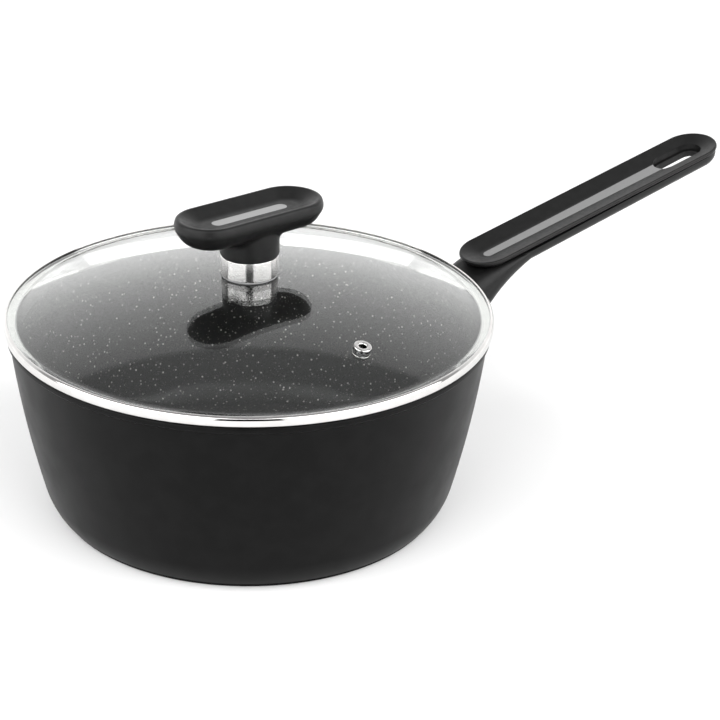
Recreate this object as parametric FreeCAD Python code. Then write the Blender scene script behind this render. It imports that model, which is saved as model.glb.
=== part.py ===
import FreeCAD, Part
import math
import os

# Saucepan with a glass lid, in millimetres.
# +Z is up, the origin is the centre of the pot's base, and +X points along the handle.
# Every piece is a separate solid, written to parts/ under its own name.

V = FreeCAD.Vector
UP = V(0, 0, 1)
ORIGIN = V(0, 0, 0)

# Pot
pot_height = 83.0
wall_thickness = 3.0
floor_thickness = 5.0
wall_low = (90.05, 12.0)          # radius and height of the wall's outer face, where it leaves the corner
wall_middle = (96.4, 40.0)
wall_high = (101.9, 75.0)
outer_corner_radius = 28.0
inner_corner_radius = 11.0
foot_radius = 83.9
foot_height = 1.8
rim_band_height = 3.6
rim_band_proud = 0.9
rim_rounding = 1.1

# Induction disc, pressed flush into the underside
disc_radius = 70.0
disc_thickness = 0.8
disc_hole_radius = 2.0
disc_hole_rings = (20.0, 32.0, 44.0, 56.0)
disc_hole_spacing = 12.5

# Lid rim, rolled from sheet, with a spigot that drops inside the pot
sheet = 0.5
lid_gap = 0.3                     # between the pot's rim and the lid rim
lid_overhang = 1.1                # lid rim beyond the pot's rim band
spigot_clearance = 0.75
spigot_depth = 5.6
spigot_flare = 2.0                # spigot's top is wider than its foot by this much, on the radius
lip_width = 1.7
lid_travel = 120.0

# Glass
glass_thickness = 3.5
glass_fit = 0.05                  # above and below the glass, inside the lid rim
glass_edge_gap = 0.5
dome_rise = 17.35
brim_width = 4.1
brim_blend = 8.0
glass_edge_rounding = 1.05
sealant_height = 2.1
knob_hole_radius = 4.5

# Steam vent
vent_distance = 72.6              # from the lid's axis
vent_angle = -84.0                # degrees from the handle's direction
vent_hole_radius = 2.8
vent_tube_radius = 2.5
vent_bore_radius = 1.65
vent_flange_radius = 3.8
vent_flange_thickness = 0.8
vent_washer_radius = 3.6
vent_washer_thickness = 0.3       # above the glass, and twice this below it

# Knob
knob_turn = 3.5                   # degrees from the handle's direction, as the loose lid lies
knob_length = 71.6
knob_width = 31.0
knob_depth = 12.0
knob_dish = 3.8
knob_ridge_inset = 1.2
knob_girth_drop = 4.2             # from the knob's top edge down to its widest line
knob_bottom_inset = 4.6           # corner of the underside, inside the widest line
knob_bottom_rounding = 8.0
knob_girth_rounding = 4.0
knob_edge_rounding = 1.4
knob_dish_rounding = 6.0
knob_top_above_glass = 30.3
stem_radius = 12.7
stem_fillet = 3.5
ferrule_radius = 12.4
ferrule_wall = 1.0
ferrule_height = 8.6
ferrule_fit = 0.1
knob_inlay_length = 38.0
knob_inlay_width = 5.4
gasket_thickness = 0.4
gasket_inset = 0.4                # upper gasket, inside the ferrule's outer face
lower_gasket_thickness = 1.2
lower_gasket_margin = 1.0         # beyond the steel washer under it
insert_radius = 4.0
insert_length = 10.0
insert_recess = 1.0               # above the ferrule's lower edge
insert_groove_width = 1.2
insert_groove_depth = 0.5
screw_end_room = 2.0              # hole beyond the knob screw's end
screw_radius = 2.5                # the knob screw and the handle screw are both M5
screw_fit = 0.25                  # around a screw in a plain hole
screw_head_radius = 4.75
screw_head_height = 3.2
socket_width = 4.0                # across the flats of the hexagon key
socket_depth = 1.9
washer_radius = 8.0
washer_thickness = 1.0

# Handle: a dished plate with round ends, and a rounded keel under it
handle_slope = 12.2               # degrees above level
handle_stand_off = 26.3           # from the pot's rim to the centre of the handle's near end
handle_rise = 4.1                 # top edge of the handle there, above the pot's rim
handle_reach = 124.8              # between the centres of the two round ends
handle_width = 27.0
handle_plate = 4.4
handle_dish = 2.8
handle_ridge_inset = 0.5
handle_girth_drop = 1.54          # from the top edge down to the widest line
handle_bottom_inset = 3.2         # plate's underside, inside its widest line
handle_bottom_rounding = 2.2
handle_girth_rounding = 1.2
handle_edge_rounding = 0.7
handle_dish_rounding = 5.0
keel_width = 25.0
keel_depth = 9.7                  # below the handle's top edge, at its near end
keel_taper = 0.7                  # degrees, rising towards the tip
keel_start = 16.0                 # centre of the keel's near end, from the handle's
keel_rounding = 4.5
inlay_thickness = 1.2
inlay_fit = 0.05
handle_inlay_width = 6.9          # at the hang slot
handle_inlay_near_width = 4.7
handle_inlay_start = -2.3         # from the near centre, along the handle
slot_length = 27.0
slot_width = 12.0
slot_ledge = 1.0                  # the lower part of the slot is narrower by this much all round
slot_ledge_depth = 5.4
slot_end_wall = 8.0
cut_over = 5.0                    # how far cutters run past what they cut

# Neck between the handle and the pot, and the lug inside it
neck_width = 27.0
neck_rounding = 9.0
neck_top_drop = 7.7               # below the pot's rim, at the wall
neck_bottom_drop = 52.0
neck_throat_low = (-13.4, -35.4)  # from the handle's near centre, in the middle of the neck
neck_throat_high = (-22.4, -11.1)
neck_shoulder_low = (0.9, -17.7)
neck_shoulder_back = 3.0          # shoulder's upper end, back from the near centre
neck_heel = 13.0                  # along the handle, where the neck has come down to the keel's depth
neck_run_out = 12.0               # from the heel to the neck's end inside the keel
neck_roof = 0.3                   # neck's top, below the handle inlay
neck_overlap = 0.5                # how far the neck stands proud of the keel, before it runs into it
lug_width = 16.0
lug_depth = 8.0
lug_rounding = 2.0
lug_slope = 38.0
lug_root_drop = 27.5              # below the pot's rim, at the wall
lug_length = 24.0                 # beyond the wall, along the lug
lug_fit = 0.2
handle_screw_distance = 13.0      # beyond the wall, along the lug
handle_screw_length = 11.0
handle_screw_seat = 2.0           # thickness of the handle between the lug and the spring washer
handle_screw_well_fit = 0.6       # around the screw's head and the spring washer
spring_washer_thickness = 1.2
spring_washer_fit = 0.1
spring_washer_gap = 0.8           # the washer's split


def point(pair):
    return V(pair[0], 0, pair[1])


def polar(distance, degrees):
    turn = math.radians(degrees)
    return V(distance * math.cos(turn), distance * math.sin(turn), 0)


def corner_reaches(corners):
    """Distance from each corner to its arc's ends, shared out where two arcs would meet on one side."""
    count = len(corners)
    halves = []
    wanted = []
    for index in range(count):
        here = point(corners[index])
        back = point(corners[index - 1]) - here
        onward = point(corners[(index + 1) % count]) - here
        halves.append(back.getAngle(onward) / 2)
        wanted.append(corners[index][2] / math.tan(halves[index]))
    reaches = []
    for index in range(count):
        room = wanted[index]
        for other in (index - 1, (index + 1) % count):
            side = (point(corners[other]) - point(corners[index])).Length
            both = wanted[index] + wanted[other]
            if both > 0.95 * side:
                room = min(room, 0.95 * side * wanted[index] / both)
        reaches.append(room)
    return halves, reaches


def rounded_face(corners):
    """Flat face in the XZ plane, with straight sides and an arc of the given radius at each corner."""
    count = len(corners)
    halves, reaches = corner_reaches(corners)
    stops = []
    for index in range(count):
        here = point(corners[index])
        if reaches[index] == 0:
            stops.append((here, here, here))
            continue
        back = (point(corners[index - 1]) - here).normalize()
        onward = (point(corners[(index + 1) % count]) - here).normalize()
        radius = reaches[index] * math.tan(halves[index])
        middle = here + (back + onward).normalize() * (radius / math.sin(halves[index]) - radius)
        stops.append((here + back * reaches[index], middle, here + onward * reaches[index]))
    edges = []
    for index in range(count):
        start, middle, end = stops[index]
        if (end - start).Length > 1e-6:
            edges.append(Part.Arc(start, middle, end).toShape())
        following = stops[(index + 1) % count][0]
        if (following - end).Length > 1e-6:
            edges.append(Part.LineSegment(end, following).toShape())
    return Part.Face(Part.Wire(edges))


def path_face(start, steps):
    """Flat face in the XZ plane: a step is the next corner, or a point on an arc and the arc's end."""
    edges = []
    here = start
    for step in steps + [(start,)]:
        end = step[-1]
        if (end - here).Length > 1e-6:
            if len(step) == 2:
                edges.append(Part.Arc(here, step[0], end).toShape())
            else:
                edges.append(Part.LineSegment(here, end).toShape())
        here = end
    return Part.Face(Part.Wire(edges))


def lathe(face):
    return face.revolve(ORIGIN, UP, 360)


def lathe_in_quarters(face):
    """The same solid as lathe makes, with every bend in four short stretches, for a thin folded sheet."""
    quarters = [face.rotated(ORIGIN, UP, turn).revolve(ORIGIN, UP, 90) for turn in (0, 90, 180, 270)]
    return joined(quarters[0].multiFuse(quarters[1:]))


def disc(radius, low, high):
    return Part.makeCylinder(radius, high - low, V(0, 0, low))


def ring(outer, inner, low, high):
    return disc(outer, low, high).cut(disc(inner, low, high))


def long_round(half_section, reach):
    """Sweep half a cross-section round two centres, reach apart along X, and straight between them."""
    left = half_section.rotated(ORIGIN, UP, 90)
    right = half_section.rotated(ORIGIN, UP, -90)
    near = left.revolve(ORIGIN, UP, 180)
    far = right.revolve(ORIGIN, UP, 180).translated(V(reach, 0, 0))
    straight = [left.extrude(V(reach, 0, 0)), right.extrude(V(reach, 0, 0))]
    return near.multiFuse(straight + [far]).removeSplitter()


def box_section(half_width, low, high, rounding=0.0):
    corners = [(0, low, 0), (half_width, low, rounding), (half_width, high, rounding), (0, high, 0)]
    return rounded_face(corners)


def joined(solid):
    """The one solid inside a compound that a boolean made."""
    return solid.Solids[0] if len(solid.Solids) == 1 else solid


# ---- Pot

wall_arc = Part.Circle(point(wall_low), point(wall_middle), point(wall_high))
wall_centre = wall_arc.Center
wall_radius = wall_arc.Radius


def wall_point(height, inset=0.0):
    """Point on the wall, inset from its outer face, at a height."""
    rise = height - wall_centre.z
    return V(wall_centre.x + math.sqrt((wall_radius - inset) ** 2 - rise ** 2), 0, height)


def arc_point(centre, radius, start, end):
    """Middle of the short arc from start to end about centre."""
    return centre + ((start - centre) + (end - centre)).normalize() * radius


rim_radius = wall_point(pot_height).x + rim_band_proud


def pot_outside():
    """Everything inside the pot's outer face, as a solid."""
    wall_start = point(wall_low)
    corner_centre = wall_start + (wall_centre - wall_start).normalize() * outer_corner_radius
    drop = foot_height - corner_centre.z
    corner_end = V(corner_centre.x + math.sqrt(outer_corner_radius ** 2 - drop ** 2), 0, foot_height)
    band_low = pot_height - rim_band_height
    band_start = wall_point(band_low)
    top_centre = V(rim_radius - rim_rounding, 0, pot_height - rim_rounding)
    top_start = top_centre + V(rim_rounding, 0, 0)
    top_end = top_centre + UP * rim_rounding
    return lathe(path_face(ORIGIN, [
        (V(foot_radius, 0, 0),),
        (V(foot_radius, 0, foot_height),),
        (corner_end,),
        (arc_point(corner_centre, outer_corner_radius, corner_end, wall_start), wall_start),
        (wall_point((wall_start.z + band_low) / 2), band_start),
        (V(rim_radius, 0, band_low + rim_band_proud),),
        (top_start,),
        (arc_point(top_centre, rim_rounding, top_start, top_end), top_end),
        (V(0, 0, pot_height),),
    ]))


def pot_inside():
    """The hollow of the pot, past its open top."""
    inner_radius = wall_radius - wall_thickness - inner_corner_radius
    centre_height = floor_thickness + inner_corner_radius
    run = math.sqrt(inner_radius ** 2 - (centre_height - wall_centre.z) ** 2)
    corner_centre = V(wall_centre.x + run, 0, centre_height)
    floor_edge = V(corner_centre.x, 0, floor_thickness)
    wall_start = corner_centre + (corner_centre - wall_centre).normalize() * inner_corner_radius
    wall_end = wall_point(pot_height - rim_rounding, wall_thickness)
    lip_centre = wall_end + V(rim_rounding, 0, 0)
    lip_end = lip_centre + UP * rim_rounding
    above = pot_height + rim_rounding
    return lathe(path_face(V(0, 0, floor_thickness), [
        (floor_edge,),
        (arc_point(corner_centre, inner_corner_radius, floor_edge, wall_start), wall_start),
        (wall_point((wall_start.z + wall_end.z) / 2, wall_thickness), wall_end),
        (arc_point(lip_centre, rim_rounding, wall_end, lip_end), lip_end),
        (V(lip_end.x, 0, above),),
        (V(0, 0, above),),
    ]))


def make_induction_disc():
    holes = []
    for radius in disc_hole_rings:
        count = round(2 * math.pi * radius / disc_hole_spacing)
        for index in range(count):
            place = polar(radius, 360 * index / count)
            holes.append(disc(disc_hole_radius, 0, disc_thickness).translated(place))
    return joined(disc(disc_radius, 0, disc_thickness).cut(holes))


# ---- Lid

rim_low = pot_height + lid_gap
brim_low = rim_low + sheet + glass_fit
brim_top = brim_low + glass_thickness
rim_high = brim_top + glass_fit + sheet
lid_radius = rim_radius + lid_overhang
spigot_radius = wall_point(pot_height, wall_thickness).x - spigot_clearance - spigot_flare
glass_radius = lid_radius - sheet - glass_edge_gap
dome_foot = glass_radius - brim_width
dome_radius = (dome_foot ** 2 + dome_rise ** 2) / (2 * dome_rise)
dome_centre = brim_top + dome_rise - dome_radius
crown = brim_top + dome_rise
crown_under = crown - glass_thickness


def dome(radius):
    """Ball whose top is the glass's upper or lower face."""
    return Part.makeSphere(radius, V(0, 0, dome_centre))


def vent_place(shape):
    """Move a shape made about the origin to the vent, square to the glass."""
    tilt = math.degrees(math.asin(vent_distance / dome_radius))
    lifted = shape.translated(V(0, 0, dome_radius))
    tipped = lifted.rotated(ORIGIN, V(0, 1, 0), tilt)
    return tipped.rotated(ORIGIN, UP, vent_angle).translated(V(0, 0, dome_centre))


def make_glass():
    blend_height = brim_top + brim_blend
    run = math.sqrt((dome_radius + brim_blend) ** 2 - (blend_height - dome_centre) ** 2)
    centre = V(0, 0, dome_centre)
    blend_centre = V(run, 0, blend_height)
    outward = (blend_centre - centre).normalize()
    under_radius = dome_radius - glass_thickness
    under_blend = brim_blend + glass_thickness
    top_join = centre + outward * dome_radius
    under_join = centre + outward * under_radius
    top_brim = V(run, 0, brim_top)
    under_brim = V(run, 0, brim_low)
    low_edge = V(glass_radius, 0, brim_low + glass_edge_rounding)
    high_edge = V(glass_radius, 0, brim_top - glass_edge_rounding)
    top_start = V(0, 0, crown)
    under_end = V(0, 0, crown_under)
    glass = lathe(path_face(top_start, [
        (arc_point(centre, dome_radius, top_start, top_join), top_join),
        (arc_point(blend_centre, brim_blend, top_join, top_brim), top_brim),
        (V(glass_radius - glass_edge_rounding, 0, brim_top),),
        (high_edge,),
        (low_edge,),
        (V(glass_radius - glass_edge_rounding, 0, brim_low),),
        (under_brim,),
        (arc_point(blend_centre, under_blend, under_brim, under_join), under_join),
        (arc_point(centre, under_radius, under_join, under_end), under_end),
    ]))
    knob_hole = disc(knob_hole_radius, brim_low, crown + cut_over)
    vent_hole = vent_place(disc(vent_hole_radius, -2 * glass_thickness, glass_thickness))
    return joined(glass.cut([knob_hole, vent_hole]))


def make_lid_rim():
    """The strip's own section: spigot, seat, upright band and lip. Its cut edges are square."""
    band_inner = lid_radius - sheet
    lip_end = lid_radius - lip_width
    return lathe_in_quarters(rounded_face([
        (spigot_radius - sheet, rim_low - spigot_depth, 0),
        (spigot_radius, rim_low - spigot_depth, 0),
        (spigot_radius + spigot_flare, rim_low, sheet),
        (lid_radius, rim_low, 3 * sheet),
        (lid_radius, rim_high, 3 * sheet),
        (lip_end, rim_high, 0),
        (lip_end, rim_high - sheet, 0),
        (band_inner, rim_high - sheet, 2 * sheet),
        (band_inner, rim_low + sheet, 2 * sheet),
        (spigot_radius + spigot_flare - sheet, rim_low + sheet, 2 * sheet),
    ]))


def make_rim_sealant():
    inner = glass_radius + glass_fit
    outer = lid_radius - sheet - glass_fit
    middle = (brim_low + brim_top) / 2
    return ring(outer, inner, middle - sealant_height / 2, middle + sealant_height / 2)


def make_vent_eyelet():
    below = -glass_thickness - 2 * vent_washer_thickness
    top = vent_washer_thickness
    edge = vent_flange_thickness * 0.4
    return vent_place(lathe(rounded_face([
        (vent_bore_radius, below - vent_flange_thickness, edge),
        (vent_flange_radius, below - vent_flange_thickness, edge),
        (vent_flange_radius, below, edge),
        (vent_tube_radius, below, 0),
        (vent_tube_radius, top, 0),
        (vent_flange_radius, top, edge),
        (vent_flange_radius, top + vent_flange_thickness, edge),
        (vent_bore_radius, top + vent_flange_thickness, edge),
    ])))


def make_vent_washers():
    top = ring(vent_washer_radius, vent_tube_radius, 0, vent_washer_thickness)
    drop = -glass_thickness - 2 * vent_washer_thickness
    under = ring(vent_washer_radius, vent_tube_radius, drop, drop + 2 * vent_washer_thickness)
    upper = vent_place(top).cut(dome(dome_radius))
    lower = vent_place(under).common(dome(dome_radius - glass_thickness))
    return Part.Compound([joined(upper), joined(lower)])


# ---- Knob

ferrule_low = crown + gasket_thickness
ferrule_high = ferrule_low + ferrule_height
knob_top = crown + knob_top_above_glass
knob_under = knob_top - knob_depth
plug_radius = ferrule_radius - ferrule_wall - ferrule_fit
insert_low = ferrule_low + insert_recess
gasket_under = crown_under - lower_gasket_thickness
washer_under = gasket_under - washer_thickness
knob_reach = knob_length - knob_width


def centred(half_section, reach):
    """Long round piece centred on the axis and turned as the knob is."""
    return long_round(half_section, reach).translated(V(-reach / 2, 0, 0)).rotated(ORIGIN, UP, knob_turn)


def knob_head_section():
    half = knob_width / 2
    return rounded_face([
        (0, knob_under, 0),
        (half - knob_bottom_inset, knob_under, knob_bottom_rounding),
        (half, knob_top - knob_girth_drop, knob_girth_rounding),
        (half - knob_ridge_inset, knob_top, knob_edge_rounding),
        (knob_inlay_width, knob_top - knob_dish, knob_dish_rounding),
        (0, knob_top - knob_dish, 0),
    ])


def knob_inlay_solid(fit):
    low = knob_top - knob_dish - inlay_thickness - fit
    section = box_section(knob_inlay_width / 2 + fit, low, knob_top - knob_dish + fit)
    return centred(section, knob_inlay_length - knob_inlay_width)


def make_knob_body():
    head = centred(knob_head_section(), knob_reach)
    stem = lathe(rounded_face([
        (0, ferrule_high, 0),
        (stem_radius, ferrule_high, 1.0),
        (stem_radius, knob_under + knob_depth / 2, 0),
        (0, knob_under + knob_depth / 2, 0),
    ]))
    body = head.fuse(stem)
    joint = []
    for edge in body.Edges:
        middle = edge.valueAt((edge.FirstParameter + edge.LastParameter) / 2)
        on_stem = abs(math.hypot(middle.x, middle.y) - stem_radius) < 0.01
        if on_stem and middle.z > knob_under - 0.01:
            joint.append(edge)
    plug = disc(plug_radius, ferrule_low, knob_under)
    body = joined(body.makeFillet(stem_fillet, joint)).fuse(plug)
    insert_space = disc(insert_radius, ferrule_low, insert_low + insert_length)
    screw_space = disc(screw_radius + screw_fit, insert_low, insert_low + insert_length + screw_end_room)
    return joined(body.cut([insert_space, screw_space, knob_inlay_solid(inlay_fit)]))


def make_ferrule():
    edge = ferrule_wall * 0.35
    inner = ferrule_radius - ferrule_wall
    return lathe(rounded_face([
        (inner, ferrule_low, edge),
        (ferrule_radius, ferrule_low, edge),
        (ferrule_radius, ferrule_high, edge),
        (inner, ferrule_high, edge),
    ]))


def make_gasket_upper():
    """Seal between the ferrule and the glass, hollowed to the dome."""
    dome_drop = dome_radius - math.sqrt(dome_radius ** 2 - ferrule_radius ** 2)
    seal = ring(ferrule_radius - gasket_inset, screw_radius + screw_fit, crown - dome_drop, ferrule_low)
    return joined(seal.cut(dome(dome_radius)))


def make_gasket_lower():
    seal = ring(washer_radius + lower_gasket_margin, screw_radius + screw_fit, gasket_under, crown)
    return joined(seal.common(dome(dome_radius - glass_thickness)))


def make_insert():
    """Threaded brass insert with a knurled waist of grooves."""
    body = disc(insert_radius, insert_low, insert_low + insert_length)
    grooves = []
    for share in (0.3, 0.7):
        low = insert_low + insert_length * share - insert_groove_width / 2
        waist = insert_radius - insert_groove_depth
        grooves.append(ring(insert_radius + cut_over, waist, low, low + insert_groove_width))
    bore = disc(screw_radius, insert_low, insert_low + insert_length)
    return joined(body.cut(grooves + [bore]))


def cap_screw(length):
    """Screw standing on its head at the origin, shank upwards, with a hexagon socket below."""
    head = lathe(rounded_face([
        (0, 0, 0),
        (screw_head_radius, 0, screw_head_height * 0.4),
        (screw_head_radius, screw_head_height, 0),
        (screw_radius, screw_head_height, 0),
        (screw_radius, screw_head_height + length, 0.5),
        (0, screw_head_height + length, 0),
    ]))
    across_corners = socket_width / math.sqrt(3)
    corners = [polar(across_corners, 60 * index) for index in range(7)]
    socket = Part.Face(Part.makePolygon(corners)).extrude(V(0, 0, socket_depth))
    return joined(head.cut(socket))


def make_knob_screw():
    length = insert_low + insert_length - washer_under
    return cap_screw(length).translated(V(0, 0, washer_under - screw_head_height))


# ---- Handle

near_end = V(rim_radius + handle_stand_off, 0, pot_height + handle_rise)
slot_far = handle_reach + handle_width / 2 - slot_end_wall
slot_near = slot_far - slot_length


def handle_place(shape):
    """Tip a shape made level about the near end of the handle, and put it there."""
    return shape.rotated(ORIGIN, V(0, 1, 0), -handle_slope).translated(near_end)


def handle_section():
    half = handle_width / 2
    dish_floor = handle_inlay_width * 0.55
    return rounded_face([
        (0, -handle_plate, 0),
        (half - handle_bottom_inset, -handle_plate, handle_bottom_rounding),
        (half, -handle_girth_drop, handle_girth_rounding),
        (half - handle_ridge_inset, 0, handle_edge_rounding),
        (dish_floor, -handle_dish, handle_dish_rounding),
        (0, -handle_dish, 0),
    ])


def keel():
    """Rounded bar under the plate, tipped so that it is shallower at the handle's tip."""
    section = rounded_face([
        (0, -keel_depth, 0),
        (keel_width / 2, -keel_depth, keel_rounding),
        (keel_width / 2, -handle_dish - inlay_thickness, 0),
        (0, -handle_dish - inlay_thickness, 0),
    ])
    bar = long_round(section, handle_reach - keel_start).translated(V(keel_start, 0, 0))
    return bar.rotated(V(keel_start, 0, -handle_plate), V(0, 1, 0), -keel_taper)


def slot_solid(inset, low, high):
    """Stadium-shaped cutter for the hang slot, narrower by inset all round."""
    section = box_section(slot_width / 2 - inset, low, high)
    return long_round(section, slot_length - slot_width).translated(V(slot_near + slot_width / 2, 0, 0))


def handle_inlay_solid(fit):
    """Strip along the dish's bottom, wider towards the hang slot, which it runs into."""
    low = -handle_dish - inlay_thickness - fit
    near = handle_inlay_near_width / 2 + fit
    far = handle_inlay_width / 2 + fit
    start = handle_inlay_start + handle_inlay_near_width / 2
    end = slot_near + slot_width / 2
    height = inlay_thickness + 2 * fit
    corners = [V(start, near, low), V(start, -near, low), V(end, -far, low), V(end, far, low)]
    strip = Part.Face(Part.makePolygon(corners + corners[:1])).extrude(V(0, 0, height))
    round_end = disc(near, low, low + height).translated(V(start, 0, 0))
    return joined(strip.fuse(round_end).removeSplitter())


def handle_point(along, height):
    """Point of the handle's own frame, put in the saucepan's."""
    turn = math.radians(handle_slope)
    x = along * math.cos(turn) - height * math.sin(turn)
    z = along * math.sin(turn) + height * math.cos(turn)
    return near_end + V(x, 0, z)


def rounded_wire(low, high, width, low_rounding, high_rounding):
    """Rounded rectangle across the handle, standing between two points of the XZ plane."""
    upward = (high - low).normalize()
    edges = []
    stops = []
    for place, side, inward, rounding in ((low, 1, upward, low_rounding), (high, 1, upward * -1, high_rounding),
                                          (high, -1, upward * -1, high_rounding), (low, -1, upward, low_rounding)):
        centre = place + inward * rounding + V(0, side * (width / 2 - rounding), 0)
        flat = centre - inward * rounding
        wide = centre + V(0, side * rounding, 0)
        stops.append((flat, arc_point(centre, rounding, flat, wide), wide))
    order = [stops[0], stops[1][::-1], stops[2], stops[3][::-1]]
    for index in range(4):
        start, middle, end = order[index]
        edges.append(Part.Arc(start, middle, end).toShape())
        edges.append(Part.LineSegment(end, order[(index + 1) % 4][0]).toShape())
    return Part.Wire(edges)


def neck_solid():
    """Neck from inside the pot's wall to inside the handle, lofted through rounded sections."""
    low = wall_point(pot_height - neck_bottom_drop, wall_thickness)
    high = V(low.x, 0, pot_height - neck_top_drop)
    cover = handle_dish + inlay_thickness + neck_roof
    end = neck_heel + neck_run_out
    full = neck_rounding
    sections = [
        (low, high, neck_width, full, full),
        (near_end + point(neck_throat_low), near_end + point(neck_throat_high), neck_width, full, full),
        (near_end + point(neck_shoulder_low), handle_point(-neck_shoulder_back, -cover),
         neck_width, full * 0.85, full * 0.5),
        (handle_point(neck_heel, -keel_depth - neck_overlap), handle_point(neck_heel - 1, -cover),
         keel_width + neck_overlap, keel_rounding, 1.0),
        (handle_point(end, -keel_depth + 3 * neck_overlap), handle_point(end - 1, -cover),
         keel_width - 4 * neck_overlap, keel_rounding - neck_overlap, 0.9),
    ]
    return Part.makeLoft([rounded_wire(*section) for section in sections], True, False)


lug_wall = wall_point(pot_height - lug_root_drop)
lug_root = 20.0                     # length of lug inside the wall line, before the wall is cut off it


def lug_place(shape):
    """Move a shape made along +X from the origin to the pot's wall, tipped up as the lug is."""
    return shape.rotated(ORIGIN, V(0, 1, 0), -lug_slope).translated(lug_wall)


def lug_block(fit):
    """Bar along +X, larger than the lug by fit all round."""
    block = Part.makeBox(lug_root + lug_length + fit, lug_width + 2 * fit, lug_depth + 2 * fit,
                         V(-lug_root, -lug_width / 2 - fit, -lug_depth / 2 - fit))
    lengthwise = [edge for edge in block.Edges if edge.BoundBox.XLength > lug_length]
    return block.makeFillet(lug_rounding, lengthwise)


def upright(radius, low, high):
    """Round hole or shank across the lug, at the handle screw."""
    return disc(radius, low, high).translated(V(handle_screw_distance, 0, 0))


screw_seat = -lug_depth / 2 - handle_screw_seat     # where the spring washer rests, in the lug's own frame


def make_lug(outside):
    hole = upright(screw_radius, -lug_depth, lug_depth)
    return joined(lug_place(lug_block(0).cut(hole)).cut(outside))


def make_handle_grip(outside):
    grip = handle_place(long_round(handle_section(), handle_reach))
    top_slot = slot_solid(0, -slot_ledge_depth, cut_over)
    low_slot = slot_solid(slot_ledge, -keel_depth - cut_over, 0)
    body = grip.multiFuse([handle_place(keel()), neck_solid()])
    cutters = [handle_place(cutter) for cutter in (top_slot, low_slot, handle_inlay_solid(inlay_fit))]
    cutters.append(lug_place(lug_block(lug_fit)))
    cutters.append(lug_place(upright(screw_radius + screw_fit, screw_seat, 0)))
    well_radius = screw_head_radius + handle_screw_well_fit
    cutters.append(lug_place(upright(well_radius, screw_seat - pot_height, screw_seat)))
    cutters.append(outside)
    return joined(body.cut(cutters).removeSplitter())


def make_handle_inlay():
    past_slot = slot_solid(inlay_fit, -keel_depth, cut_over)
    return handle_place(joined(handle_inlay_solid(0).cut(past_slot)))


def make_handle_screw():
    head_base = screw_seat - spring_washer_thickness - screw_head_height
    return lug_place(cap_screw(handle_screw_length).translated(V(handle_screw_distance, 0, head_base)))


def make_spring_washer():
    low = screw_seat - spring_washer_thickness
    washer = ring(screw_head_radius, screw_radius + spring_washer_fit, low, screw_seat)
    split = Part.makeBox(screw_head_radius, spring_washer_gap, spring_washer_thickness,
                         V(0, -spring_washer_gap / 2, low))
    return lug_place(joined(washer.cut(split)).translated(V(handle_screw_distance, 0, 0)))


def main():
    os.makedirs("parts", exist_ok=True)
    outside = pot_outside()
    induction_disc = make_induction_disc()
    parts = {
        "pot_body": joined(outside.cut([pot_inside(), induction_disc])),
        "induction_disc": induction_disc,
        "handle_lug": make_lug(outside),
        "handle_grip": make_handle_grip(outside),
        "handle_inlay": make_handle_inlay(),
        "handle_screw": make_handle_screw(),
        "handle_spring_washer": make_spring_washer(),
        "lid_glass": make_glass(),
        "lid_rim": make_lid_rim(),
        "rim_sealant": make_rim_sealant(),
        "vent_eyelet": make_vent_eyelet(),
        "vent_washers": make_vent_washers(),
        "knob_body": make_knob_body(),
        "knob_inlay": knob_inlay_solid(0),
        "knob_ferrule": make_ferrule(),
        "knob_insert": make_insert(),
        "knob_gasket_upper": make_gasket_upper(),
        "knob_gasket_lower": make_gasket_lower(),
        "knob_washer": ring(washer_radius, screw_radius + screw_fit, washer_under, gasket_under),
        "knob_screw": make_knob_screw(),
    }
    for name, shape in parts.items():
        shape.exportStep("parts/" + name + ".step")
        box = shape.BoundBox
        print(name, len(shape.Solids), "solid", "valid" if shape.isValid() else "NOT VALID",
              "volume", round(shape.Volume), "x", round(box.XMin, 1), round(box.XMax, 1),
              "z", round(box.ZMin, 1), round(box.ZMax, 1))


main()
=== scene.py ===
# %% [markdown]
# # A saucepan with a glass lid
# The CAD model gives every piece its place: a forged aluminium pot, a rolled steel lid rim with a domed
# glass in it, a black knob on a steel ferrule, and a long dished handle. This lesson gives those pieces their
# looks. Round pieces are turned on a lathe of bmesh operators, and every finish is built from nodes.

# %% Load the fixed frame
import math

import bmesh
import bpy
from mathutils import Matrix, Vector


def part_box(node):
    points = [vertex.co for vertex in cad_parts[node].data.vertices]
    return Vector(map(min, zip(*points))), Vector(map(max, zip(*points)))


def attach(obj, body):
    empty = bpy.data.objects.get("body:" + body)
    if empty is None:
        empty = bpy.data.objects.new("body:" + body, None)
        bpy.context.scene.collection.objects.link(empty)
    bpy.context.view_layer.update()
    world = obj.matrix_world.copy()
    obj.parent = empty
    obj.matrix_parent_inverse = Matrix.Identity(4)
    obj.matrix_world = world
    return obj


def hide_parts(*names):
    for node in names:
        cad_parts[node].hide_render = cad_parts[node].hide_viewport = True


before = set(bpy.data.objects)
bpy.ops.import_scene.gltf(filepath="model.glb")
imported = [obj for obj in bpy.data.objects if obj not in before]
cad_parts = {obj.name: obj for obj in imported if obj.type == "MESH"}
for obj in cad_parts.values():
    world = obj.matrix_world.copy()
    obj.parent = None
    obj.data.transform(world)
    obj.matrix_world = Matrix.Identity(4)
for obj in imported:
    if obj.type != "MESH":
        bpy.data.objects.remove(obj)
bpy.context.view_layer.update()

# %% [markdown]
# ## Places and sizes
# Blender works in metres. Anything that another piece has to meet is read from the frame's boxes, so that
# the looks follow the CAD model. Sizes that only shape a piece are written in millimetres, times MM.

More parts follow.
